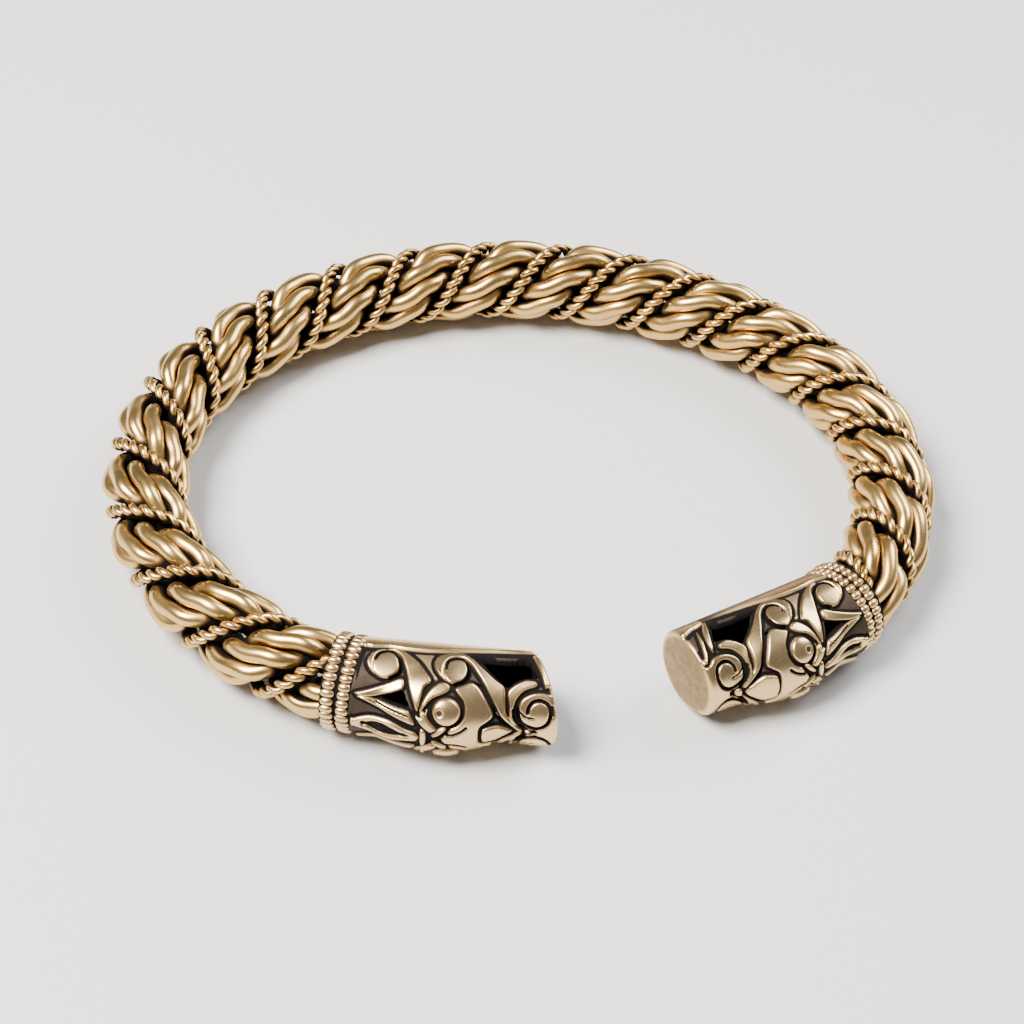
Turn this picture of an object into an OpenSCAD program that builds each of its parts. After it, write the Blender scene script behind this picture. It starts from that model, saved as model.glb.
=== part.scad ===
// Arm ring of twisted bronze wire: two strands wound round each other, a fine twisted wire
// in each of the two grooves, and a hollow cast beast head on each end.
// The ring lies flat: X runs along the oval's long axis, the gap faces -Y, and Z is up.

/* [Ring] */
// Half of the oval's width, from its middle to the middle of the wire rope
oval_half_width = 34.8; // [32:0.2:40]
// Half of the oval's depth, from its middle to the middle of the wire rope
oval_half_depth = 29; // [27:0.2:34]
// Where the rope ends inside the left head, as the oval's angle
left_end_angle = 246; // [240:1:248]
// Where the rope ends inside the right head, as the oval's angle
right_end_angle = -33; // [-35:1:-26]
// How far the rope's ends turn in from the oval, towards the wrist
end_turn_in = 0.4; // [0.2:0.05:0.5]
// Rope length over which an end turns in
turn_in_length = 10; // [8:0.5:12]

/* [Rope] */
// Rope length that one strand takes for a full turn
rope_lay = 14.9; // [14:0.1:17]
// Share by which the twist tightens from the rope's middle to its right end
lay_change = 0.13; // [0:0.01:0.15]
// Where the twist is measured from, as the oval's angle
twist_angle = 106.2; // [90:0.1:120]
// Turn of the grooves at that place
groove_turn = 14; // [-90:1:90]
// Distance from the rope's middle to the middle of a strand
strand_offset = 2.2; // [2.2:0.05:2.4]
// Half of the strand's wire loop, towards the rope's surface
loop_depth = 1.1; // [0.9:0.05:1.15]
// Half of the strand's wire loop, round the rope
loop_width = 1.8; // [1.5:0.05:1.85]
// Lean of the wire loop, which sets one edge of the strand deeper
loop_lean = 8; // [4:1:10]
// Rope length in which a wire goes once round its strand
wire_lay = 9.5; // [9:0.1:12]
// Wires in a strand
wire_count = 5; // [4:1:6]
// Radius of one wire
wire_radius = 0.8; // [0.6:0.02:0.8]
// Distance from the rope's middle to the middle of a fine wire
fine_offset = 3.38; // [3.35:0.01:3.5]
// Radius of the fine twisted wire
fine_radius = 0.55; // [0.4:0.01:0.55]
// Share by which the rope narrows where it enters a head
end_narrowing = 0.28; // [0.24:0.01:0.3]
// Rope length over which it narrows
narrowing_length = 6; // [6:0.5:8]

/* [Heads] */
// Length of the left head from its collar to its flat end
left_head_length = 15.5; // [14:0.1:17]
// Length of the right head from its collar to its flat end
right_head_length = 14.6; // [13:0.1:16]
// Turn of a collar inwards from the rope's direction
collar_turn = 7; // [5:1:9]
// Turn of the left head inwards from its collar
left_head_turn = 9.5; // [8:0.5:12]
// Turn of the right head inwards from its collar
right_head_turn = 15.5; // [12:0.5:16]
// Slant of the left head's flat end, which makes its crest side longer
left_end_slant = 20; // [10:1:24]
// Slant of the right head's flat end
right_end_slant = -3; // [-6:1:6]
// Radius of a head's tube beside the collar, without its relief
head_radius = 3.95; // [3.8:0.05:4.1]
// Radius of the tube at its flat end, without its relief
end_radius = 3.65; // [3.5:0.05:3.9]
// Wall of the head
head_wall = 0.75; // [0.7:0.05:0.9]
// Height of the raised scrolls above the tube
relief_height = 0.35; // [0.25:0.05:0.4]
// Radius of the bulging forehead, without its relief
forehead_radius = 3.8; // [3.6:0.05:4]
// How far the forehead stands out beyond the tube
forehead_height = 1.3; // [1:0.05:1.4]
// Length of the forehead's bulge
forehead_length = 10.6; // [9:0.2:11]
// Distance from the collar to the middle of the bulge
forehead_along = 6.2; // [5.8:0.1:6.6]
// How much the bulge narrows towards its ends
forehead_drop = 1.15; // [1:0.05:1.3]
// Thickness of the flat end
end_thickness = 1.1; // [0.9:0.1:1.6]

/* [Collars] */
// Length of rope held inside a collar
rope_entry = 1.8; // [1.5:0.1:2]
// Wall of the collar under its beads
collar_wall = 0.3; // [0.3:0.05:0.4]
// Gap round the rope where it enters a collar
rope_gap = 0.15; // [0.15:0.05:0.25]
// Beads in one row round the collar
bead_count = 32; // [24:1:32]
// Radius of a bead
bead_radius = 0.36; // [0.3:0.01:0.36]
// Distance between the two rows of beads
bead_row_gap = 1.4; // [1.2:0.1:1.6]

/* [Hidden] */
strand_count = 2;
bronze = "#b08a4a";
pale_bronze = "#c2a878";
oval_steps = 360;
ring_steps = 136;
wire_sides = [-60, -20, 20, 60];
even_spacing = 8.6;
fine_sides = 5;
look_step = 0.01;
tube_sides = 96;
barrel_sides = 180;
knob_sides = 48;
bead_sides = 24;
ornament_tilt = 45;
band_steps = 8;
joint_lap = 0.2;
eye = [0.47, 0.35];
muzzle_spiral = [0.966, 0.3];
wrist_side_share = 0.43;
rope_span = left_end_angle - right_end_angle;
oval_table = [for (i = 0, s = 0; i <= oval_steps; s = s + oval_step(i), i = i + 1)
    [s, oval_angle(i)]];
angle_table = [for (entry = oval_table) [entry[1], entry[0]]];
rope_length = oval_table[oval_steps][0];
twist_place = lookup(twist_angle, angle_table);
relief_radius = head_radius + relief_height;
rope_radius = strand_offset + loop_depth + wire_radius;
turn_reach = rope_radius * sin(collar_turn);
mouth_radius = (rope_radius * narrowing(rope_entry + turn_reach) + rope_gap) / cos(collar_turn);
mouth_depth = rope_entry + turn_reach + rope_gap;
collar_radius = mouth_radius + collar_wall;
collar_length = max(2 * bead_row_gap + bead_radius, mouth_depth + rope_gap);
bead_ring_radius = collar_radius - bead_radius / 2;
forehead_offset = head_radius + forehead_height - forehead_radius;
crest_height = head_radius + forehead_height + relief_height;
rest_height = max(bead_ring_radius + bead_radius, relief_radius);
pierce_start = 0.4 * head_radius;
end_reach = left_head_length + right_head_length;
left_mouth = rope_flat(rope_entry);
right_mouth = rope_flat(rope_length - rope_entry);
left_heading = heading_of(rope_flat(rope_entry - look_step) - rope_flat(rope_entry + look_step)) + collar_turn;
right_heading = heading_of(rope_flat(rope_length - rope_entry + look_step)
    - rope_flat(rope_length - rope_entry - look_step)) - collar_turn;
front_heading = left_heading + left_head_turn;
front_reach = crest_height * cos(front_heading) - forehead_along * sin(front_heading)
    - collar_length * sin(left_heading) - left_mouth[1];
middle_shift = (front_reach - oval_half_depth - rope_radius) / 2;

function oval_angle(i) = left_end_angle - rope_span * i / oval_steps;
function oval_flat(u) = [oval_half_width * cos(u), oval_half_depth * sin(u)];
function oval_step(i) = norm(oval_flat(oval_angle(i + 1)) - oval_flat(oval_angle(i)));
function unit(v) = v / norm(v);
function outwards(u) = unit([oval_half_depth * cos(u), oval_half_width * sin(u)]);
function heading_of(v) = atan2(v[1], v[0]);
function on_floor(p) = [p[0], p[1] + middle_shift, rest_height];

// Where the rope is along its length: its middle, the turn of its grooves and its narrowing.
function rope_place(s) = lookup(s, oval_table);
function turn_in(s) = let (near = min(s, rope_length - s) / turn_in_length)
    end_turn_in * pow(max(0, 1 - near), 2);
function rope_flat(s) = oval_flat(rope_place(s)) - turn_in(s) * outwards(rope_place(s));
function groove_angle(s) = let (x = s - twist_place)
    groove_turn - 360 / rope_lay * (x + lay_change * x * x / rope_length);
function narrowing(s) = let (near = min(s, rope_length - s) / narrowing_length)
    1 - end_narrowing * pow(max(0, 1 - near), 2);
function around_rope(s, turn, radius, sideways) = let (
        away = outwards(rope_place(s)),
        out = radius * cos(turn) - sideways * sin(turn))
    on_floor(rope_flat(s) + out * away)
    + [0, 0, radius * sin(turn) + sideways * cos(turn)];

// A wire's place in its strand's section: X towards the rope's surface, Y round the rope.
function even_turn(t) = t - even_spacing * sin(2 * t);
function wire_turn(s, wire) = even_turn(360 * wire / wire_count + 360 * (s - twist_place) / wire_lay);
function leaning(v) = let (c = cos(loop_lean), d = sin(loop_lean))
    [v[0] * c - v[1] * d, v[0] * d + v[1] * c];
function wire_middle(t) = leaning([loop_depth * cos(t), loop_width * sin(t)]);
function wire_edge(middle, side) = let (a = atan2(middle[1], middle[0]) + side)
    middle + wire_radius * [cos(a), sin(a)];
function strand_section(s) = [for (wire = [0 : wire_count - 1], side = wire_sides)
    wire_edge(wire_middle(wire_turn(s, wire)), side)];
function groove_turn_of(s, strand) = groove_angle(s) + 360 * strand / strand_count;
function strand_ring(s, strand) = let (turn = groove_turn_of(s, strand) + 90, share = narrowing(s))
    [for (p = strand_section(s)) around_rope(s, turn, (strand_offset + p[0]) * share, p[1] * share)];
function fine_point(s, strand) = around_rope(s, groove_turn_of(s, strand), fine_offset * narrowing(s), 0);
function fine_direction(s, strand) =
    unit(fine_point(s + look_step, strand) - fine_point(s - look_step, strand));
function fine_ring(s, strand) = let (
        middle = fine_point(s, strand),
        outward = unit(middle - on_floor(rope_flat(s))),
        across = cross(fine_direction(s, strand), outward))
    [for (k = [0 : fine_sides - 1]) let (a = 360 * k / fine_sides)
        middle + fine_radius * (cos(a) * outward + sin(a) * across)];
function rope_stations() = [for (i = [0 : ring_steps])
    look_step + (rope_length - 2 * look_step) * i / ring_steps];

// Skins a row of rings, each with the same number of points, and closes both ends.
module skinned(rings) {
    n = len(rings[0]);
    last = len(rings) - 1;
    polyhedron(
        points = [for (ring = rings, p = ring) p],
        faces = concat(
            [[for (k = [0 : n - 1]) k]],
            [for (i = [0 : last - 1], k = [0 : n - 1]) let (m = (k + 1) % n)
                each [
                    [i * n + k, (i + 1) * n + k, i * n + m],
                    [i * n + m, (i + 1) * n + k, (i + 1) * n + m]
                ]],
            [[for (k = [n - 1 : -1 : 0]) last * n + k]]
        )
    );
}

module strand(number) {
    color(bronze)
    skinned([for (s = rope_stations()) strand_ring(s, number)]);
}

module fine_wire(number) {
    color(bronze)
    skinned([for (s = rope_stations()) fine_ring(s, number)]);
}

// A head's tube lies along X from its collar to its flat end, and its crest faces +Y.
// It starts a little inside the collar, narrows towards the end, and stops at the slanted end.
function tube_radius(x, length) = head_radius - (head_radius - end_radius) * x / length;
module tube(from, end, length, slant, growth) {
    intersection() {
        translate([from, 0, 0])
        rotate([0, 90, 0])
        cylinder(
            h = end_reach,
            r1 = tube_radius(from, length) + growth,
            r2 = tube_radius(from + end_reach, length) + growth,
            $fn = tube_sides
        );
        before_end(end, slant);
    }
}

module before_end(end, slant) {
    translate([end, 0, 0])
    rotate([0, 0, -slant])
    translate([-2 * end_reach, -end_reach, -end_reach])
    cube(2 * end_reach);
}

// A barrel beside the tube's middle, so that it stands out on the crest side only.
module forehead(growth) {
    mid_radius = forehead_radius + growth;
    barrel_radius = (forehead_length * forehead_length / 4 + forehead_drop * forehead_drop) / (2 * forehead_drop);
    translate([forehead_along, forehead_offset, 0])
    rotate([0, 90, 0])
    rotate_extrude($fn = tube_sides)
    intersection() {
        translate([mid_radius - barrel_radius, 0])
        circle(r = barrel_radius, $fn = barrel_sides);
        translate([0, -forehead_length / 2])
        square([2 * mid_radius, forehead_length]);
    }
}

// The plain side that lies against the wrist, as high as the scrolls.
module wrist_side(from, length, slant) {
    intersection() {
        tube(from, length, length, slant, relief_height);
        translate([from, -(1 + wrist_side_share) * relief_radius, -relief_radius])
        cube([end_reach, relief_radius, 2 * relief_radius]);
    }
}

module bead_row(along) {
    translate([along, 0, 0])
    for (k = [0 : bead_count - 1])
        rotate([360 * k / bead_count, 0, 0])
        translate([0, bead_ring_radius, 0])
        sphere(r = bead_radius, $fn = bead_sides);
}

// The flank's ornament is drawn flat. X runs along the tube as a share of the head's own length,
// and Y from the wrist side to the crest as a share of its radius.
function spot(share) = [share[0] * $length, share[1] * head_radius];
function curve_point(a, b, c, t) = (1 - t) * (1 - t) * a + 2 * t * (1 - t) * b + t * t * c;
function curve_normal(a, b, c, t) = let (d = (1 - t) * (b - a) + t * (c - b))
    [-d[1], d[0]] / norm(d);
function band_edge(a, b, c, widths, side) = [for (i = [0 : band_steps]) let (t = i / band_steps)
    curve_point(a, b, c, t)
    + side * head_radius / 2 * curve_point(widths[0], widths[1], widths[2], t) * curve_normal(a, b, c, t)];
function reversed(list) = [for (i = [len(list) - 1 : -1 : 0]) list[i]];

// A band along a curve of three spots, with its width at the start, middle and end.
module band(from, bend, to, widths) {
    a = spot(from);
    b = spot(bend);
    c = spot(to);
    polygon(concat(band_edge(a, b, c, widths, 1), reversed(band_edge(a, b, c, widths, -1))));
}

module knob(place, radius) {
    translate(spot(place))
    circle(r = radius * head_radius, $fn = knob_sides);
}

module scrolls() {
    // Spiral behind the collar and the band that sweeps down from it
    knob([0.121, -0.58], 0.24);
    band([0.02, -0.59], [0.016, -1.04], [0.162, -0.89], [0.11, 0.13, 0.14]);
    band([0.154, -0.89], [0.284, -0.63], [0.314, 0.4], [0.14, 0.55, 0.05]);
    // Two bars that meet at the collar
    band([-0.047, 0.1], [0.086, -0.04], [0.219, -0.19], [0.06, 0.18, 0.24]);
    band([-0.04, 0.15], [0.126, 0.37], [0.292, 0.67], [0.06, 0.12, 0.18]);
    // Eye with its brow and the band under it
    knob(eye, 0.29);
    brow_skin();
    band([0.442, -0.16], [0.336, -0.19], [0.316, 0.4], [0.26, 0.26, 0.05]);
    band([0.327, 0.35], [0.332, 0.83], [0.435, 0.81], [0.06, 0.22, 0.12]);
    // Spiral above the forehead and the band that sweeps from it to the muzzle
    knob([0.504, -0.53], 0.24);
    band([0.392, -0.53], [0.383, -0.98], [0.559, -0.85], [0.11, 0.13, 0.14]);
    band([0.553, -0.85], [0.692, -0.31], [0.874, 0.67], [0.14, 0.34, 0.1]);
    // Muzzle spiral in its ring, with the curl above it
    knob(muzzle_spiral, 0.22);
    muzzle_ring();
    band([0.93, -0.38], [0.796, -0.35], [0.796, 0.34], [0.24, 0.24, 0.05]);
    // Short bands beside the flat end
    band([0.914, -1], [0.979, -0.68], [1.01, -0.27], [0.26, 0.18, 0.1]);
    band([1.01, -0.86], [1.05, -0.55], [1.06, -0.09], [0.1, 0.12, 0.08]);
    // Leaves and ties on the crest
    band([-0.063, 0.77], [0.042, 0.37], [0.318, 0.94], [0.1, 0.16, 0.12]);
    band([0.022, 0.81], [0.114, 0.74], [0.219, 0.97], [0.08, 0.2, 0.05]);
    band([0.672, 0.83], [0.764, 0.55], [0.869, 0.85], [0.1, 0.5, 0.05]);
    band([0.35, 0.79], [0.356, 0.97], [0.363, 1.13], [0.12, 0.12, 0.12]);
    band([0.908, 0.7], [0.912, 0.84], [0.914, 0.99], [0.1, 0.1, 0.1]);
}

// Smooth skin of the forehead, as high as the scrolls, with a groove left round the eye.
module brow_skin() {
    difference() {
        patch([[0.52, -0.1], [0.59, -0.3], [0.65, -0.15], [0.72, 0.39], [0.66, 0.72], [0.68, 0.9], [0.68, 1.5],
            [0.42, 1.5], [0.42, 0.88], [0.5, 0.76], [0.46, 0.6], [0.5, 0.3]]);
        knob(eye, 0.36);
    }
}

module muzzle_ring() {
    difference() {
        knob(muzzle_spiral, 0.45);
        knob(muzzle_spiral, 0.32);
    }
}

module patch(shares) {
    polygon([for (share = shares) spot(share)]);
}

// Gaps that are cut through between the scrolls.
module gaps() {
    patch([[0.107, 0.12], [0.225, -0.01], [0.27, 0.38]]);
    patch([[0.58, -0.86], [0.894, -0.94], [0.948, -0.54], [0.832, -0.37], [0.796, -0.23], [0.704, -0.52]]);
    patch([[0.608, -0.28], [0.663, -0.15], [0.734, 0.36], [0.802, 0.68], [0.75, 0.62], [0.692, 0.26]]);
}

// Pushes a flat drawing outwards and upwards through the flank, and the same below.
module through_flanks() {
    for (side = [-1, 1])
        rotate([side * ornament_tilt, 0, 0])
        mirror([0, 0, side > 0 ? 1 : 0])
        translate([0, 0, pierce_start])
        linear_extrude(height = 2 * head_radius)
        children();
}

// The carved tube of a head, which leaves its collar at an angle.
module carved_tube(turn, slant) {
    start = -relief_radius * tan(turn) - joint_lap;
    difference() {
        union() {
            tube(start, $length, $length, slant, 0);
            forehead(0);
        }
        through_flanks()
        gaps();
    }
    intersection() {
        union() {
            tube(start, $length, $length, slant, relief_height);
            forehead(relief_height);
        }
        through_flanks()
        scrolls();
    }
    wrist_side(start, $length, slant);
}

module head(turn, slant) {
    color(pale_bronze)
    difference() {
        union() {
            translate([collar_length, 0, 0])
            rotate([0, 0, -turn])
            carved_tube(turn, slant);
            rotate([0, 90, 0])
            cylinder(h = collar_length, r = collar_radius, $fn = tube_sides);
            for (row = [0, 1])
                bead_row((row + 0.5) * bead_row_gap + bead_radius / 2);
        }
        translate([collar_length, 0, 0])
        rotate([0, 0, -turn])
        tube(rope_entry - collar_length, $length - end_thickness, $length, slant, -head_wall);
        translate([-bead_radius, 0, 0])
        rotate([0, 90, 0])
        cylinder(h = mouth_depth + bead_radius, r = mouth_radius, $fn = tube_sides);
    }
}

module head_left() {
    translate(on_floor(left_mouth))
    rotate([180, 0, left_heading])
    head(left_head_turn, left_end_slant, $length = left_head_length);
}

module head_right() {
    translate(on_floor(right_mouth))
    rotate([0, 0, right_heading])
    head(right_head_turn, right_end_slant, $length = right_head_length);
}

strand(0);  // strand_1
strand(1);  // strand_2
fine_wire(0);  // fine_wire_1
fine_wire(1);  // fine_wire_2
head_left();
head_right();
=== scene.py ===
import math
import bmesh
import bpy
import numpy as np
from mathutils import Matrix, Vector


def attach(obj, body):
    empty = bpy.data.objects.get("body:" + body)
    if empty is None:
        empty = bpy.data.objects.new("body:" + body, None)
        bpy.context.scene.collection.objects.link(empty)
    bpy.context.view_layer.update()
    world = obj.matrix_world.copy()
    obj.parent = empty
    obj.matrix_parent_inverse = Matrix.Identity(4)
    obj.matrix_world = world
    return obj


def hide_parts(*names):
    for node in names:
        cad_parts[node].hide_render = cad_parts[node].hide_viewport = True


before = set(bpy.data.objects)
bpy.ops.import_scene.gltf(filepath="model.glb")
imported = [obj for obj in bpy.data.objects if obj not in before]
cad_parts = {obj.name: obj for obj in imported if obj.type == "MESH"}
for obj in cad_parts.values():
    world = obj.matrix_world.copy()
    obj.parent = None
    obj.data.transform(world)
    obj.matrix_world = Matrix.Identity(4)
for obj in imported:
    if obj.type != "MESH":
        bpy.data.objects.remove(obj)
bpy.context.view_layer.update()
mm = 0.001
studio = bpy.context.scene

# The ring's plan: an oval from the rope's end in the left head round to its end in the right one
ring = {
    "halfWidth": 34.8,
    "halfDepth": 29.0,
    "middle": (0.0, -0.478, 4.322),
    "leftEnd": 246.0,  # degrees round the oval
    "rightEnd": -33.0,
    "countFrom": -53.0,  # where the count of degrees starts, between the rope's ends
    "turnIn": 0.4,  # the rope's ends leave the oval towards the wrist
    "turnInLength": 10.0,
    "samples": 2400,
}

ovalTurn = np.radians(np.linspace(ring["leftEnd"], ring["rightEnd"], ring["samples"]))
ovalFlat = np.stack([ring["halfWidth"] * np.cos(ovalTurn), ring["halfDepth"] * np.sin(ovalTurn)], -1)
ovalRun = np.append(0, np.cumsum(np.linalg.norm(np.diff(ovalFlat, axis=0), axis=1)))
ropeLength = ovalRun[-1]
upward = np.array([0.0, 0.0, 1.0])


# Middle of the rope and the way outwards, at rope lengths from its left end
def ringPlace(run):
    turn = np.interp(run, ovalRun, ovalTurn)
    flat = 0 * turn
    spot = np.stack([ring["halfWidth"] * np.cos(turn), ring["halfDepth"] * np.sin(turn), flat], -1)
    ahead = np.stack([ring["halfWidth"] * np.sin(turn), -ring["halfDepth"] * np.cos(turn), flat], -1)
    ahead /= np.linalg.norm(ahead, axis=-1, keepdims=True)
    outward = np.stack([-ahead[..., 1], ahead[..., 0], flat], -1)
    near = np.clip(1 - np.minimum(run, ropeLength - run) / ring["turnInLength"], 0, None)
    spot = spot + np.array(ring["middle"]) - (ring["turnIn"] * near**2)[..., None] * outward
    return spot, outward


def easing(value, low, high):  # 0 below low, 1 above high, smooth between
    part = np.clip((value - low) / (high - low), 0, 1)
    return part * part * (3 - 2 * part)


# Node materials

def addNode(tree, kind, values=None, **settings):
    node = tree.nodes.new(kind)
    for name, value in settings.items():
        setattr(node, name, value)
    for name, value in (values or {}).items():
        node.inputs[name].default_value = value
    return node


def ramp(tree, stops):
    node = addNode(tree, "ShaderNodeValToRGB")
    elements = node.color_ramp.elements
    while len(elements) < len(stops):
        elements.new(0.5)
    for element, (place, colour) in zip(elements, stops):
        element.position = place
        element.color = (*colour, 1)
    return node


def noise(tree, place, scale, detail, roughness):
    node = addNode(tree, "ShaderNodeTexNoise", {"Scale": scale, "Detail": detail, "Roughness": roughness})
    tree.links.new(place, node.inputs["Vector"])
    return node.outputs["Fac"]


def metalMaterial(name, look):
    material = bpy.data.materials.new(name)
    material.use_nodes = True
    tree = material.node_tree
    link = tree.links.new
    shader = tree.nodes["Principled BSDF"]
    place = addNode(tree, "ShaderNodeTexCoord").outputs["Object"]

    hollow = addNode(tree, "ShaderNodeAttribute", attribute_name="hollow")  # patina and painted shade: 0 bare metal, 1 deep in a hollow
    centred = addNode(tree, "ShaderNodeMath", {1: 0.5}, operation="SUBTRACT")
    link(noise(tree, place, *look["stain"]), centred.inputs[0])
    uneven = addNode(tree, "ShaderNodeMath", {1: look["stainStrength"]}, operation="MULTIPLY_ADD")
    link(centred.outputs[0], uneven.inputs[0])
    link(hollow.outputs["Fac"], uneven.inputs[2])

    metal, hollowMetal = (1, 1, 1), (look["hollowMetal"],) * 3
    shine, hollowShine = (look["shine"],) * 3, (look["hollowShine"],) * 3
    ramps = {
        "Base Color": look["tones"],
        "Metallic": [(0.0, metal), (look["bareUntil"], metal), (1.0, hollowMetal)],
        "Specular IOR Level": [(0.0, shine), (look["shinyUntil"], shine), (look["dullFrom"], hollowShine)],
    }
    for socket, stops in ramps.items():
        graded = ramp(tree, stops)
        link(uneven.outputs[0], graded.inputs["Fac"])
        link(graded.outputs["Color"], shader.inputs[socket])

    rubFrom, rubTo = look["rubRange"]
    glossFrom, glossTo = look["gloss"]
    gloss = addNode(tree, "ShaderNodeMapRange",
                    {"From Min": rubFrom, "From Max": rubTo, "To Min": glossFrom, "To Max": glossTo})
    link(noise(tree, place, *look["rub"]), gloss.inputs["Value"])
    dull = addNode(tree, "ShaderNodeMix", {"B": look["hollowGloss"]}, data_type="FLOAT")
    link(uneven.outputs[0], dull.inputs["Factor"])
    link(gloss.outputs["Result"], dull.inputs["A"])
    link(dull.outputs["Result"], shader.inputs["Roughness"])

    bump = addNode(tree, "ShaderNodeBump",
                   {"Strength": look["bumpStrength"], "Distance": look["bumpDepth"] * mm})
    link(noise(tree, place, *look["grain"]), bump.inputs["Height"])
    link(bump.outputs["Normal"], shader.inputs["Normal"])
    return material


wireLook = {
    "stain": (700.0, 5.0, 0.6),  # scale, detail and roughness of a pattern
    "stainStrength": 0.35,
    "tones": [  # from bare metal to patina and painted shade deep in hollows
        (0.0, (0.70, 0.45, 0.155)),
        (0.3, (0.60, 0.36, 0.11)),
        (0.6, (0.11, 0.055, 0.018)),
        (0.85, (0.008, 0.006, 0.005)),
    ],
    "bareUntil": 0.5,
    "hollowMetal": 0.0,
    "shine": 0.5,
    "shinyUntil": 0.4,
    "dullFrom": 0.8,
    "hollowShine": 0.06,
    "rub": (260.0, 6.0, 0.65),
    "rubRange": (0.3, 0.75),
    "gloss": (0.22, 0.36),
    "hollowGloss": 0.8,
    "grain": (900.0, 4.0, 0.7),
    "bumpStrength": 0.12,
    "bumpDepth": 0.05,
}
headLook = dict(
    wireLook,
    stain=(1300.0, 5.0, 0.6),
    stainStrength=0.22,
    # from bare metal to patina and painted shade deep in hollows
    tones=[
        (0.0, (0.73, 0.50, 0.235)),
        (0.3, (0.57, 0.38, 0.17)),
        (0.6, (0.07, 0.05, 0.035)),
        (0.82, (0.006, 0.005, 0.005)),
    ],
)
wireMetal = metalMaterial("polished bronze wire", wireLook)
headMetal = metalMaterial("satin cast bronze", headLook)
print("materials made")


# Pieces

# patina and painted shade in the hollows, 0 bare metal to 1 deep in a hollow
def setPatinaAndShade(mesh, values):
    layer = mesh.attributes.new("hollow", "FLOAT", "POINT")
    layer.data.foreach_set("value", np.asarray(values, dtype=np.float32))


def finishedPiece(name, mesh, material, node):
    piece = bpy.data.objects.new(name, mesh)
    studio.collection.objects.link(piece)
    mesh.name = name
    mesh.materials.clear()
    mesh.materials.append(material)
    mesh.polygons.foreach_set("use_smooth", [True] * len(mesh.polygons))
    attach(piece, "root")
    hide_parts(node)
    print(name, len(mesh.polygons), "faces")


def sweptWires(name, paths, radius, roundness, thinning):
    curve = bpy.data.curves.new(name, "CURVE")
    curve.dimensions = "3D"
    curve.twist_mode = "MINIMUM"
    curve.bevel_depth = radius * mm
    curve.bevel_resolution = roundness
    curve.use_fill_caps = True
    for path in paths:
        spline = curve.splines.new("POLY")
        spline.points.add(len(path) - 1)
        spline.points.foreach_set("co", np.column_stack([path * mm, np.ones(len(path))]).ravel())
        spline.points.foreach_set("radius", thinning)
    holder = bpy.data.objects.new(name, curve)
    studio.collection.objects.link(holder)
    bpy.context.view_layer.update()
    mesh = bpy.data.meshes.new_from_object(holder.evaluated_get(bpy.context.evaluated_depsgraph_get()))
    bpy.data.objects.remove(holder)
    return mesh


def meshPoints(mesh, what="co"):
    values = np.zeros(len(mesh.vertices) * 3)
    mesh.vertices.foreach_get(what, values)
    return values.reshape(-1, 3)


# A flat grid, as floor and as the sheet that is wrapped round a head
def gridMesh(name, facesX, facesY, size):
    sheet = bmesh.new()
    bmesh.ops.create_grid(sheet, x_segments=facesX, y_segments=facesY, size=size)
    mesh = bpy.data.meshes.new(name)
    sheet.to_mesh(mesh)
    sheet.free()
    return mesh


# The rope: two strands of five wires wound left-handed, and a fine right-handed twist in each groove
rope = {
    "lay": 14.9,  # rope length in which a strand goes once round
    "layChange": 0.13,  # how much quicker the turns come towards the right end
    "grooveTurn": 14.0,  # degrees round the rope of the first groove where the twist is measured from
    "measuredFrom": 106.2,  # and that place, in degrees round the oval
    "strandOffset": 2.1,
    "loopDepth": 1.15,  # half size of the loop that a wire travels, outwards
    "loopWidth": 1.8,  # and round the rope
    "loopLean": 8.0,
    "evenSpacing": 8.6,  # degrees by which the wires shift along their loop
    "wireLay": 9.5,
    "wires": 5,
    "wireRadius": 0.78,
    "narrowing": 0.3,  # share by which the rope is thinner at its ends
    "narrowingLength": 4.5,
    "wireInset": 0.02,
    "wireSteps": 560,
    "wireRoundness": 4,
    "dark": (2.35, 3.2, 0.0, 0.58),  # distance from the rope's middle and facing, each from dark (patina and painted shade) to bare
}
fine = {
    "offset": 3.22,
    "wireRadius": 0.33,
    "wireOffset": 0.31,
    "lay": 2.35,  # length along the groove in which a fine wire goes once round
    "inset": 0.05,
    "steps": 1700,
    "wireRoundness": 1,
    # distance from the middle and facing, each from dark (patina and painted shade) to bare
    "dark": (3.15, 3.6, -0.1, 0.45),
}
twistRun = float(np.interp(-math.radians(rope["measuredFrom"]), -ovalTurn, ovalRun))


def grooveTurn(run):
    past = run - twistRun
    wound = past + rope["layChange"] * past**2 / ropeLength
    return np.radians(rope["grooveTurn"] - 360 / rope["lay"] * wound)


def slimming(run):
    near = np.minimum(run, ropeLength - run) / rope["narrowingLength"]
    return 1 - rope["narrowing"] * np.clip(1 - near, 0, None) ** 2


def ropePoint(run, turn, radius, sideways):
    spot, outward = ringPlace(run)
    over = radius * np.cos(turn) - sideways * np.sin(turn)
    rise = radius * np.sin(turn) + sideways * np.cos(turn)
    return spot + over[:, None] * outward + rise[:, None] * upward


def wirePath(run, strand, wire):
    turn = 2 * np.pi * wire / rope["wires"] + 2 * np.pi * (run - twistRun) / rope["wireLay"]
    turn = turn - math.radians(rope["evenSpacing"]) * np.sin(2 * turn)
    lean = math.radians(rope["loopLean"])
    outer = rope["loopDepth"] * np.cos(turn)
    aside = rope["loopWidth"] * np.sin(turn)
    share = slimming(run)
    strandTurn = grooveTurn(run) + math.pi / 2 + strand * math.pi
    radius = rope["strandOffset"] + outer * math.cos(lean) - aside * math.sin(lean)
    sideways = outer * math.sin(lean) + aside * math.cos(lean)
    return ropePoint(run, strandTurn, share * radius, share * sideways)


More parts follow.
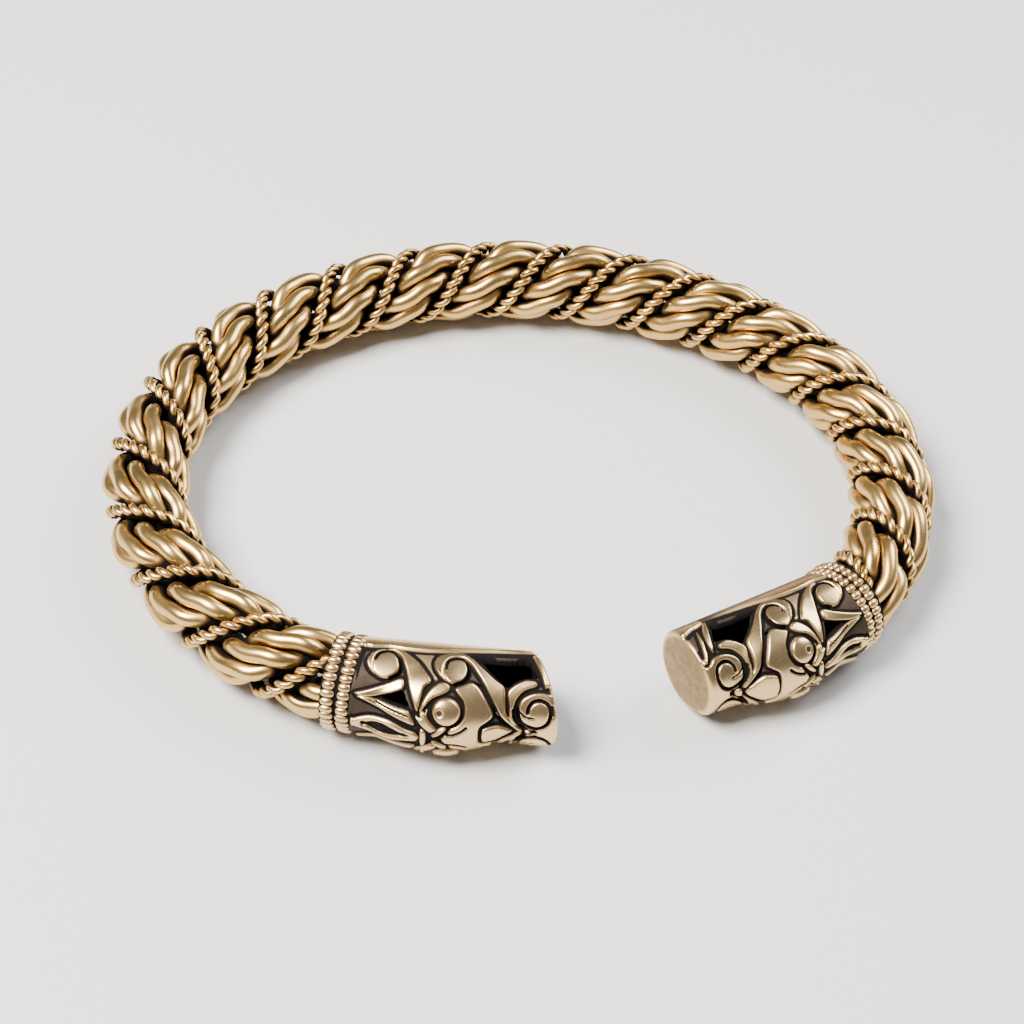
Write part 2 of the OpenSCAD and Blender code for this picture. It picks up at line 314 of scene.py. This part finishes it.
def fineWirePaths(strand):
    run = np.linspace(fine["inset"], ropeLength - fine["inset"], fine["steps"])
    turn = grooveTurn(run) + strand * math.pi
    groove = ropePoint(run, turn, fine["offset"] * slimming(run), 0 * run)
    ahead = np.gradient(groove, axis=0)
    step = np.linalg.norm(ahead, axis=1, keepdims=True)
    ahead /= step
    outward = groove - ringPlace(run)[0]
    outward -= ahead * (outward * ahead).sum(1, keepdims=True)
    outward /= np.linalg.norm(outward, axis=1, keepdims=True)
    across = np.cross(ahead, outward)
    wind = 2 * np.pi * np.cumsum(step[:, 0]) / fine["lay"]
    return [groove + fine["wireOffset"] * (np.cos(a)[:, None] * outward + np.sin(a)[:, None] * across)
            for a in (wind, wind + np.pi)]


def ropePatinaAndShade(mesh, deep, shallow, under, over):
    points = meshPoints(mesh) / mm
    flat = points[:, :2] - np.array(ring["middle"])[:2]
    guess = np.arctan2(flat[:, 1] / ring["halfDepth"], flat[:, 0] / ring["halfWidth"])
    guess = np.where(guess < math.radians(ring["countFrom"]), guess + 2 * np.pi, guess)
    for again in range(3):  # foot of the perpendicular on the oval
        cosine, sine = np.cos(guess), np.sin(guess)
        gap = flat - np.stack([ring["halfWidth"] * cosine, ring["halfDepth"] * sine], -1)
        slope = np.stack([-ring["halfWidth"] * sine, ring["halfDepth"] * cosine], -1)
        guess = guess + (gap * slope).sum(1) / (slope * slope).sum(1)
    run = np.interp(-guess, -ovalTurn, ovalRun)
    away = points - ringPlace(run)[0]
    reach = np.linalg.norm(away, axis=1)
    facing = (meshPoints(mesh, "normal") * away).sum(1) / reach
    # patina and painted shade deep among the wires and on faces turned towards the rope's middle
    buried = 1 - easing(reach / slimming(run), deep, shallow)
    turned = 1 - easing(facing, under, over)
    return np.maximum(buried, turned)


wireRun = np.linspace(rope["wireInset"], ropeLength - rope["wireInset"], rope["wireSteps"])
for strand in range(2):
    paths = [wirePath(wireRun, strand, wire) for wire in range(rope["wires"])]
    wires = sweptWires("wires", paths, rope["wireRadius"], rope["wireRoundness"], slimming(wireRun))
    setPatinaAndShade(wires, ropePatinaAndShade(wires, *rope["dark"]))
    finishedPiece("strandWires%d" % (strand + 1), wires, wireMetal, "strand_%d" % (strand + 1))
    even = np.ones(fine["steps"])
    twist = sweptWires("twist", fineWirePaths(strand), fine["wireRadius"], fine["wireRoundness"], even)
    setPatinaAndShade(twist, ropePatinaAndShade(twist, *fine["dark"]))
    finishedPiece("fineTwist%d" % (strand + 1), twist, wireMetal, "fine_wire_%d" % (strand + 1))
print("rope made")

# The heads: a beast's ornament, drawn over one flank of the left head and mirrored below
# Sketch units run along the head and from the wrist side to the crest
sketch = {
    "unit": 72.2,  # to the millimetre
    "left": 268.7,  # where the tube starts at the collar
    "top": 422.8,  # the flank's middle line where the sketch begins
    "fall": 0.061,  # how far that line falls along the sketch
    "margin": 0.7,  # millimetres outside an outline in which its distance is worked out
}
farAway = 9.0  # more than any distance that matters on a head
tiny = 1e-12


def sketched(points):
    spots = np.array(points, dtype=float)
    down = spots[:, 1] - sketch["top"] - sketch["fall"] * spots[:, 0]
    return np.stack([spots[:, 0] - sketch["left"], down], -1) / sketch["unit"]


def smoothLine(points, closed, steps=4):
    spots = sketched(points)
    if not closed:
        spots = np.vstack([2 * spots[0] - spots[1], spots, 2 * spots[-1] - spots[-2]])
    before, after, beyond = (np.roll(spots, shift, axis=0) for shift in (1, -1, -2))
    share = (np.arange(steps) / steps)[:, None, None]
    bent = (2 * spots + (after - before) * share + (2 * before - 5 * spots + 4 * after - beyond) * share**2
            + (3 * spots - before - 3 * after + beyond) * share**3) / 2
    line = bent.transpose(1, 0, 2).reshape(-1, 2)
    return np.vstack([line, line[:1]]) if closed else line[steps:-2 * steps + 1]


def lineDistance(spots, line):
    nearest = np.full(len(spots), farAway)
    for start, end in zip(line[:-1], line[1:]):
        step = end - start
        share = np.clip((spots - start) @ step / (step @ step + tiny), 0, 1)
        nearest = np.minimum(nearest, np.linalg.norm(spots - start - share[:, None] * step, axis=1))
    return nearest


def insideDepth(spots, line):  # distance to a closed line, above 0 inside it
    depth = np.full(len(spots), -farAway)
    margin = sketch["margin"]
    close = ((spots > line.min(0) - margin) & (spots < line.max(0) + margin)).all(1)
    some = spots[close]
    inside = np.zeros(len(some), dtype=bool)
    for start, end in zip(line[:-1], line[1:]):
        crossed = (start[1] > some[:, 1]) != (end[1] > some[:, 1])
        reach = start[0] + (some[:, 1] - start[1]) * (end[0] - start[0]) / (end[1] - start[1] + tiny)
        inside ^= crossed & (some[:, 0] < reach)
    depth[close] = np.where(inside, 1, -1) * lineDistance(some, line)
    return depth


eye = {
    "middle": (797, 572),
    "radius": 88,
    "dome": 0.3,
    "groove": 110,  # radius at which the forehead stops
    "dimple": (755, 577),
    "dimpleRadius": 30,
    "dimpleDepth": 0.16,
    "dimpleSlope": (0.5, 1.1),  # shares of its radius
    "dimpleDark": 0.7,
    "dimpleShade": (0.4, 1.0),
}
raisedForms = {
    "wristSide": [(150, 120), (270, 172), (400, 178), (520, 195), (640, 205), (740, 208), (900, 205),
                  (1280, 214), (1305, 226), (1420, 250), (1600, 250), (1600, -300), (150, -300)],
    "firstSweep": [(385, 357), (335, 342), (295, 305), (277, 255), (300, 215), (345, 193), (400, 187),
                   (470, 190), (530, 215), (600, 265), (650, 320), (692, 383), (655, 415), (637, 480),
                   (617, 580), (590, 520), (560, 440), (535, 350), (515, 290), (490, 240), (450, 212),
                   (405, 204), (360, 214), (332, 245), (322, 290), (345, 335)],
    "upperBar": [(215, 462), (290, 440), (360, 418), (430, 392), (490, 365), (518, 372), (526, 400),
                 (520, 430), (500, 442), (450, 460), (400, 472), (330, 487), (270, 485)],
    "lowerBar": [(250, 480), (335, 490), (440, 530), (500, 552), (560, 570), (585, 610), (607, 657),
                 (590, 662), (520, 635), (450, 600), (380, 560), (300, 520), (235, 487)],
    "brow": [(800, 400), (770, 388), (740, 390), (690, 430), (650, 500), (628, 572), (645, 575), (662, 545),
             (710, 490), (770, 465), (803, 442), (811, 420)],
    "underEye": [(604, 600), (625, 640), (660, 680), (703, 708), (742, 692), (728, 668), (700, 638),
                 (680, 600), (684, 560), (672, 562), (664, 590), (640, 612)],
    "crossTie": [(706, 728), (728, 708), (760, 681), (795, 671), (804, 686), (780, 712), (750, 732),
                 (722, 738)],
    "upTie": [(642, 690), (670, 702), (680, 762), (680, 900), (640, 900), (636, 740)],
    "forehead": [(838, 432), (885, 405), (930, 388), (965, 402), (1000, 440), (1040, 510), (1080, 600),
                 (1050, 640), (1003, 680), (996, 760), (1000, 900), (700, 900), (700, 790), (760, 760),
                 (815, 700), (825, 682), (880, 640), (905, 580), (895, 510)],
    "secondSweep": [(790, 390), (740, 352), (705, 310), (694, 265), (720, 230), (790, 212), (870, 215),
                    (940, 250), (1010, 310), (1080, 370), (1140, 420), (1151, 500), (1163, 590),
                    (1205, 640), (1262, 695), (1250, 706), (1200, 674), (1130, 612), (1090, 540),
                    (1050, 470), (1010, 400), (960, 330), (925, 285), (880, 252), (825, 247), (780, 265),
                    (760, 300), (765, 350)],
    "curl": [(1160, 450), (1200, 402), (1270, 370), (1325, 378), (1341, 398), (1330, 415), (1265, 440),
             (1222, 490), (1206, 550), (1213, 610), (1262, 680), (1190, 640), (1176, 590), (1174, 530)],
    "muzzle": [(1232, 565), (1246, 500), (1290, 464), (1350, 449), (1420, 460), (1466, 500), (1600, 590),
               (1600, 900), (1335, 900), (1328, 742), (1352, 704), (1300, 690), (1255, 652), (1238, 605)],
    "smallLeaf": [(1014, 714), (1034, 683), (1075, 671), (1110, 665), (1150, 675), (1190, 695), (1250, 737),
                  (1252, 900), (1020, 900)],
    "backTie": [(1272, 706), (1316, 702), (1320, 760), (1320, 900), (1272, 900), (1270, 760)],
    "endBand": [(1292, 224), (1340, 240), (1385, 295), (1404, 370), (1397, 434), (1380, 402), (1350, 322),
                (1312, 254)],
    "outerEndBand": [(1408, 258), (1440, 320), (1468, 420), (1482, 497), (1447, 452), (1432, 395),
                     (1416, 330)],
}
flatForms = {  # level over the ground as a share of the relief, darkness
    "dish": (0.55, 0.22, [(560, 202), (700, 212), (690, 255), (692, 310), (728, 368), (690, 372),
                          (650, 315), (600, 255), (545, 205)]),
    "leafField": (0.2, 0.62, [(262, 668), (300, 652), (350, 647), (410, 662), (500, 708), (575, 748),
                              (540, 900), (262, 900)]),
}
leafRim = [(196, 655), (225, 632), (265, 619), (330, 611), (430, 632), (540, 688), (632, 738), (632, 900),
           (196, 900)]
leafRib = [(310, 690), (400, 706), (521, 738), (570, 748)]
discs = {  # middle, radius, dome
    "firstDisc": ((400, 288), 84, 0.06),
    "secondDisc": ((832, 322), 80, 0.06),
    "bead": ((650, 590), 19, 0.12),
    "muzzleDisc": ((1350, 590), 80, 0.10),
}
engraved = [  # half width and depth in millimetres
    (0.15, 0.34, [(333, 246), (346, 224), (372, 210), (410, 206), (450, 218), (480, 250), (495, 300),
                  (482, 338), (432, 366)]),
    (0.15, 0.34, [(775, 303), (780, 267), (820, 250), (870, 254), (903, 288), (910, 340), (886, 382),
                  (835, 402)]),
    (0.17, 0.36, [(1292, 577), (1296, 545), (1322, 510), (1365, 501), (1410, 522), (1430, 562), (1431, 612),
                  (1408, 656), (1360, 678), (1302, 668), (1256, 640), (1236, 600), (1230, 560)]),
    (0.09, 0.15, [(1246, 575), (1280, 602), (1330, 612)]),
    (0.09, 0.12, [(360, 514), (450, 560), (560, 603)]),
    (0.12, 0.28, [(803, 724), (850, 717), (895, 697), (922, 674)]),
    (0.08, 0.25, [(690, 705), (712, 722)]),
    (0.10, 0.30, [(1200, 560), (1206, 610), (1240, 665), (1270, 692)]),
]
cutThrough = [
    [(392, 484), (450, 467), (520, 447), (545, 500), (568, 562), (500, 545), (430, 518)],
    [(915, 222), (1000, 222), (1150, 232), (1272, 230), (1300, 265), (1328, 315), (1342, 356), (1270, 358),
     (1210, 380), (1160, 418), (1120, 390), (1050, 325), (985, 262)],
    [(950, 398), (985, 396), (1022, 440), (1065, 515), (1105, 590), (1150, 648), (1215, 692), (1190, 690),
     (1130, 655), (1096, 616), (1070, 540), (1035, 462), (1005, 420)],
]
relief = {
    "height": 0.35,
    "edgeStart": -0.03,  # where a raised form's edge rises, from its outline inwards
    "edgeEnd": 0.14,
    "flatEdge": (-0.06, 0.12),  # the same for the flat forms
    "ribHalf": 0.13,
    "ground": 0.66,  # darkness of the grainy ground
    "footAt": 0.12,  # middle of the painted shadow line outside a raised form
    "footFade": (0.10, 0.22),
    "grooveSlope": (0.45, 1.2),  # shares of an engraved line's half width
    "grooveDark": (0.85, 1.25),
    "plainFrom": 132.0,  # degrees from the crest, where the plain wrist side begins
}


def carving(spots):  # height over the raised level and darkness, at places on the flat drawing
    form = np.full(len(spots), -farAway)
    for outline in raisedForms.values():
        depth = insideDepth(spots, smoothLine(outline, True))
        if outline is raisedForms["forehead"]:
            eyeAway = np.linalg.norm(spots - sketched([eye["middle"]]), axis=1)
            depth = np.minimum(depth, eyeAway - eye["groove"] / sketch["unit"])
        form = np.maximum(form, depth)
    rim = insideDepth(spots, smoothLine(leafRim, True))
    field = insideDepth(spots, smoothLine(flatForms["leafField"][2], True))
    rib = relief["ribHalf"] - lineDistance(spots, smoothLine(leafRib, False))
    form = np.maximum(form, np.minimum(rim, -field))
    form = np.maximum(form, np.minimum(rib, field))
    domes = np.zeros(len(spots))
    for middle, radius, dome in [*discs.values(), (eye["middle"], eye["radius"], eye["dome"])]:
        reach = radius / sketch["unit"]
        away = np.linalg.norm(spots - sketched([middle]), axis=1)
        form = np.maximum(form, reach - away)
        domes += dome * np.sqrt(np.clip(1 - (away / reach)**2, 0, 1))
    raised = easing(form, relief["edgeStart"], relief["edgeEnd"])
    dark = np.where(form < 0, relief["ground"], 0)
    # painted shadow line along the foot of each raised form
    foot = 1 - easing(np.abs(form + relief["footAt"]), *relief["footFade"])
    for level, shade, outline in flatForms.values():
        depth = insideDepth(spots, smoothLine(outline, True))
        raised = np.maximum(raised, level * easing(depth, *relief["flatEdge"]))
        dark = np.where((form < 0) & (depth > 0), shade, dark)
    dark = np.maximum(dark, foot)
    height = relief["height"] * (raised - 1) + domes
    # engraved lines are cut in and darkened with patina and painted shade
    for half, depth, points in engraved:
        away = lineDistance(spots, smoothLine(points, False)) / half
        height -= depth * (1 - easing(away, *relief["grooveSlope"]))
        dark = np.maximum(dark, 1 - easing(away, *relief["grooveDark"]))
    dimple = np.linalg.norm(spots - sketched([eye["dimple"]]), axis=1) * sketch["unit"] / eye["dimpleRadius"]
    height -= eye["dimpleDepth"] * (1 - easing(dimple, *eye["dimpleSlope"]))
    # painted shade in the eye's dimple
    dark = np.maximum(dark, eye["dimpleDark"] * (1 - easing(dimple, *eye["dimpleShade"])))
    return height, dark


head = {
    "radius": 4.3,
    "endRadius": 4.0,
    "barrelRadius": 4.15,  # the bulge of the forehead, a barrel beside the tube's middle
    "barrelOffset": 1.45,
    "barrelArc": 12.79,
    "barrelAlong": 6.2,
    "barrelReach": 9.0,
    "barrelLeast": 1.6,
    "blend": 9.0,  # sharpness of the line where tube and barrel meet
    "flankTurn": 45.0,  # degrees from the crest of the flank that the sketch looks at
    "wall": 0.7,
    "edge": 0.5,
    "edgeShare": 0.35,  # share of the end's faces that go round its edge
    "endDome": 0.1,
    "endDark": 0.47,
    "endShade": (0.2, 0.4),  # shares of the way over the end
    "reliefFade": (0.0, 0.5),
    "hollowFade": (0.0, 0.3),
    "tarnishAndReflectionTurn": (105.0, 128.0),
    "outerFaces": (212, 16, 336),  # along, over the end and round
    "innerFaces": (84, 6, 120),
    "collarEnd": 3.16,
    "collarTurn": 7.0,  # between the rope's way and the collar's
    "ropeHeld": 1.8,  # rope length inside a collar
    "lookStep": 0.01,
    "weld": 0.0005,
}
heads = {  # sense is the way along the rope in which a head points
    "Left": {
        "node": "head_left", "sense": -1, "flip": 180, "turn": 9.5, "roll": 0.0,
        "length": 15.5, "slant": 20.0, "start": 2.72, "drawnFrom": 0.0, "drawnScale": 1.0,
        "rows": (0.68, 2.07), "bead": (0.62, 0.385, 0.36), "tarnishAndDarkReflection": 0.0,
    },
    "Right": {
        "node": "head_right", "sense": 1, "flip": 0, "turn": 15.5, "roll": 5.0,
        "length": 14.6, "slant": -3.0, "start": 2.5, "drawnFrom": -0.86, "drawnScale": 0.89,
        "rows": (0.8, 1.9), "bead": (0.5, 0.385, 0.36), "tarnishAndDarkReflection": 0.62,
    },
}


def headRadius(along, turn, length):
    tube = head["radius"] + (head["endRadius"] - head["radius"]) * along / length
    past = np.clip(along - head["barrelAlong"], -head["barrelReach"], head["barrelReach"])
    barrel = head["barrelRadius"] - head["barrelArc"] + np.sqrt(head["barrelArc"]**2 - past**2)
    barrel = np.maximum(barrel, head["barrelLeast"])
    aside = head["barrelOffset"] * np.sin(turn)
    bulge = head["barrelOffset"] * np.cos(turn) + np.sqrt(barrel**2 - aside**2)
    return np.logaddexp(head["blend"] * tube, head["blend"] * bulge) / head["blend"]


def flatSpots(along, turn, radius, own):
    down = radius * np.cos(np.abs(turn) + math.radians(head["flankTurn"]))
    return np.stack([(along - own["drawnFrom"]) / own["drawnScale"], down], -1)


# Vertices beside a gap move onto its outline, by half a face at most
def gapEdges(along, turn, flank, cell, cellTurn, own):
    gap = np.full(len(turn), -farAway)
    radius = headRadius(along, turn, own["length"])
    probe = 5  # the change of depth over one face is read over a fifth of it
    for outline in cutThrough:
        line = smoothLine(outline, True)
        here, ahead, aside = (insideDepth(flatSpots(x, a, radius, own), line) for x, a in (
            (along, turn), (along + cell / probe, turn), (along, turn + cellTurn / probe)))
        depth = np.where(flank, here, -farAway)
        stepAlong, stepRound = (ahead - depth) * probe, (aside - depth) * probe
        near = np.abs(depth) < 0.5 * np.maximum(np.abs(stepAlong), np.abs(stepRound))
        lengthways = np.abs(stepAlong) > np.abs(stepRound)
        along = along - np.where(near & lengthways, depth / np.where(near, stepAlong, 1) * cell, 0)
        turn = turn - np.where(near & ~lengthways, depth / np.where(near, stepRound, 1) * cellTurn, 0)
        gap = np.maximum(gap, np.where(near, 0, depth))
    return along, turn, gap


def surface(along, turn, radius, cap, own):  # the outside's height and darkness, plain on the wrist side
    height, dark = carving(flatSpots(along, turn, radius, own))
    plain = easing(np.degrees(np.abs(turn)), relief["plainFrom"] - 1, relief["plainFrom"])
    height *= 1 - plain
    dark *= 1 - plain
    # tarnish and painted dark reflection on the right head's wrist side
    dark = np.maximum(dark, own["tarnishAndDarkReflection"] * easing(np.degrees(turn), *head["tarnishAndReflectionTurn"]))
    height *= 1 - easing(cap, *head["reliefFade"])
    fading = dark * (1 - easing(cap, *head["hollowFade"]))
    endDark = np.maximum(fading, head["endDark"] * easing(cap, *head["endShade"]))
    return height, np.where(cap > 0, endDark, dark)


def openedSkin(mesh, gap, inset):  # gaps cut out, seams closed and faces turned the right way
    skin = bmesh.new()
    skin.from_mesh(mesh)
    cut = [f for f in skin.faces if sum(gap[v.index] for v in f.verts) > 0]
    bmesh.ops.delete(skin, geom=cut, context="FACES")
    bmesh.ops.remove_doubles(skin, verts=skin.verts, dist=head["weld"])
    bmesh.ops.recalc_face_normals(skin, faces=skin.faces)
    outward = 0
    for face in skin.faces:
        middle = face.calc_center_median()
        outward += face.normal.y * middle.y + face.normal.z * middle.z
    if (outward < 0) != (inset > 0):
        bmesh.ops.reverse_faces(skin, faces=skin.faces)
    if inset == 0:  # the wall's thickness round the gaps
        rim = [e for e in skin.edges if e.is_boundary]
        hollow = skin.verts.layers.float["hollow"]
        for corner in bmesh.ops.extrude_edge_only(skin, edges=rim)["geom"]:
            if isinstance(corner, bmesh.types.BMVert):
                reach = math.hypot(corner.co.y, corner.co.z)
                corner.co.yz *= (reach - head["wall"]) / reach
                # the gap walls are painted fully dark, as painted shade
                corner[hollow] = 1
    skin.to_mesh(mesh)
    skin.free()


def headSkin(own, faces, inset):  # the carved outside, or the plain inside where there is an inset
    alongFaces, capFaces, roundFaces = faces
    mesh = gridMesh("skin", alongFaces + capFaces, roundFaces, 1)
    grid = meshPoints(mesh)
    share = (grid[:, 0] + 1) / 2 * (alongFaces + capFaces) / alongFaces
    turn = math.pi * grid[:, 1]
    cap = np.clip((share - 1) * alongFaces / capFaces, 0, 1)
    length, slope = own["length"], math.tan(math.radians(own["slant"]))
    lean = math.radians(own["turn"])
    aside = head["radius"] * np.cos(turn) * math.sin(lean)
    start = (own["start"] - head["collarEnd"] - aside) / math.cos(lean)
    endRadius = headRadius(np.full(len(turn), length), turn, length)
    finish = length + endRadius * np.cos(turn) * slope - head["edge"] - inset
    along = start + np.minimum(share, 1) * (finish - start)
    flank = (cap == 0) & (np.abs(turn) < math.radians(relief["plainFrom"]))
    along, turn, gap = gapEdges(along, turn, flank, length / alongFaces, 2 * math.pi / roundFaces, own)

    radius = headRadius(np.minimum(along, length), turn, length)
    if inset == 0:
        height, dark = surface(along, turn, radius, cap, own)
    else:
        # the inside is painted fully dark, as painted shade inside the tube
        height, dark = np.full(len(turn), -inset), np.ones(len(turn))
    arc = np.clip(cap / head["edgeShare"], 0, 1) * math.pi / 2
    face = np.clip((cap - head["edgeShare"]) / (1 - head["edgeShare"]), 0, 1)
    radius = (radius + height - head["edge"] * (1 - np.cos(arc))) * (1 - face)
    capAlong = (length + radius * np.cos(turn) * slope - head["edge"] * (1 - np.sin(arc)) - inset
                + head["endDome"] * face)
    along = np.where(cap > 0, capAlong, along)
    spots = np.stack([along, radius * np.cos(turn), radius * np.sin(turn)], -1)
    mesh.vertices.foreach_set("co", spots.ravel())
    setPatinaAndShade(mesh, dark)
    openedSkin(mesh, gap, inset)
    return mesh


def headShell(own):
    both = bmesh.new()
    both.from_mesh(headSkin(own, head["outerFaces"], 0))
    both.from_mesh(headSkin(own, head["innerFaces"], head["wall"]))
    mesh = bpy.data.meshes.new("head")
    both.to_mesh(mesh)
    both.free()
    return mesh


def headPlace(own):  # from the middle of the collar's mouth, with X along the collar
    run = head["ropeHeld"] if own["sense"] < 0 else ropeLength - head["ropeHeld"]
    before, mouth, after = ringPlace(run + head["lookStep"] * np.array([-1, 0, 1]))[0]
    way = own["sense"] * (after - before)
    heading = math.atan2(way[1], way[0]) - own["sense"] * math.radians(head["collarTurn"])
    return (Matrix.Scale(mm, 4) @ Matrix.Translation(Vector(mouth))
            @ Matrix.Rotation(heading, 4, "Z")
            @ Matrix.Rotation(math.radians(own["flip"]), 4, "X"))


collar = {
    "profile": [(2.3, 3.86), (0.02, 3.86), (0.0, 3.98), (0.1, 4.06), (0.3, 4.0),
                (2.8, 4.0), (3.0, 4.0), (3.1, 3.9), (3.1, 3.4), (2.5, 3.4)],
    "sides": 96,
    "ringRadius": 3.99,
    "beads": 34,
    "beadFaces": (12, 8),
    "squareness": 0.55,
    "unevenness": 0.07,
    "shift": 0.05,  # share of a bead's room by which it stands off its place
    "dark": (4.04, 4.2),  # radius, from dark (painted shade between the beads) to bare
}
chance = np.random.default_rng(7)


def collarRing(own):
    band = bmesh.new()
    corners = [band.verts.new((x, r, 0)) for x, r in collar["profile"]]
    edges = [band.edges.new((a, b)) for a, b in zip(corners, corners[1:] + corners[:1])]
    bmesh.ops.spin(band, geom=corners + edges, cent=(0, 0, 0), axis=(1, 0, 0), angle=2 * math.pi,
                   steps=collar["sides"], use_merge=True)
    facesRound, facesAlong = collar["beadFaces"]
    for row in own["rows"]:
        for k in range(collar["beads"]):
            wide, around, tall = np.array(own["bead"]) * (1 + collar["unevenness"] * chance.uniform(-1, 1, 3))
            step = k + chance.uniform(-collar["shift"], collar["shift"])
            place = (Matrix.Rotation(2 * math.pi * step / collar["beads"], 4, "X")
                     @ Matrix.Translation((row, collar["ringRadius"], 0))
                     @ Matrix.Diagonal((wide, tall, around, 1)))
            ball = bmesh.ops.create_uvsphere(band, u_segments=facesRound, v_segments=facesAlong,
                                             radius=1)["verts"]
            for corner in ball:
                corner.co.x = math.copysign(abs(corner.co.x)**collar["squareness"], corner.co.x)
            bmesh.ops.transform(band, matrix=place, verts=ball)
    bmesh.ops.recalc_face_normals(band, faces=band.faces)
    mesh = bpy.data.meshes.new("collar")
    band.to_mesh(mesh)
    band.free()
    reach = np.hypot(*meshPoints(mesh)[:, 1:].T)
    # painted shade between the beads and on the band beneath them
    setPatinaAndShade(mesh, 1 - easing(reach, *collar["dark"]))
    return mesh


for side, own in heads.items():
    shell = headShell(own)
    shell.transform(headPlace(own) @ Matrix.Translation((head["collarEnd"], 0, 0))
                    @ Matrix.Rotation(math.radians(-own["turn"]), 4, "Z")
                    @ Matrix.Rotation(math.radians(own["roll"]), 4, "X"))
    finishedPiece("head" + side, shell, headMetal, own["node"])
    ringMesh = collarRing(own)
    ringMesh.transform(headPlace(own))
    finishedPiece("collar" + side, ringMesh, headMetal, own["node"])
print("heads made")

# Floor
floorLook = {"colour": (0.62, 0.62, 0.61, 1), "roughness": 0.5, "size": 2.0}
floorMaterial = bpy.data.materials.new("pale floor")
floorMaterial.use_nodes = True
floorShader = floorMaterial.node_tree.nodes["Principled BSDF"]
floorShader.inputs["Base Color"].default_value = floorLook["colour"]
floorShader.inputs["Roughness"].default_value = floorLook["roughness"]
floor = bpy.data.objects.new("floor", gridMesh("floor", 1, 1, floorLook["size"]))
floor.data.materials.append(floorMaterial)
studio.collection.objects.link(floor)

# Soft studio light
sky = {"colour": (0.80, 0.86, 1.0, 1), "strength": 0.26}
world = studio.world or bpy.data.worlds.new("studio")
studio.world = world
world.use_nodes = True
background = world.node_tree.nodes["Background"]
background.inputs["Color"].default_value = sky["colour"]
background.inputs["Strength"].default_value = sky["strength"]
lamps = {
    "key": {"place": (-0.25, -0.10, 0.45), "size": 0.24, "power": 11.0, "colour": (1.0, 0.96, 0.90)},
    "fill": {"place": (0.35, 0.25, 0.40), "size": 0.35, "power": 5.0, "colour": (0.95, 0.97, 1.0)},
}
for name, lamp in lamps.items():
    light = bpy.data.lights.new(name, "AREA")
    light.size = lamp["size"]
    light.energy = lamp["power"]
    light.color = lamp["colour"]
    holder = bpy.data.objects.new(name, light)
    holder.location = lamp["place"]
    holder.rotation_euler = (-Vector(lamp["place"])).to_track_quat("-Z", "Y").to_euler()
    studio.collection.objects.link(holder)

# Camera: 45 degrees above the floor, as the photograph was taken, turned a little about its own axis
view = {
    "aim": (-0.58, -4.218, 3.727),
    "distance": 244.0,
    "height": 45.0,
    "roll": 2.0,
    "lens": 92.46,
    "sensor": 36.0,
    "clip": (0.01, 20.0),
}
back = Vector((0, -math.cos(math.radians(view["height"])), math.sin(math.radians(view["height"]))))
camera = bpy.data.cameras.new("camera")
camera.sensor_width = view["sensor"]
camera.lens = view["lens"]
camera.clip_start, camera.clip_end = view["clip"]
cameraHolder = bpy.data.objects.new("camera", camera)
cameraHolder.matrix_world = (Matrix.Translation((Vector(view["aim"]) + back * view["distance"]) * mm)
                             @ back.to_track_quat("Z", "Y").to_matrix().to_4x4()
                             @ Matrix.Rotation(math.radians(view["roll"]), 4, "Z"))
studio.collection.objects.link(cameraHolder)
studio.camera = cameraHolder
print("floor, lights and camera made")
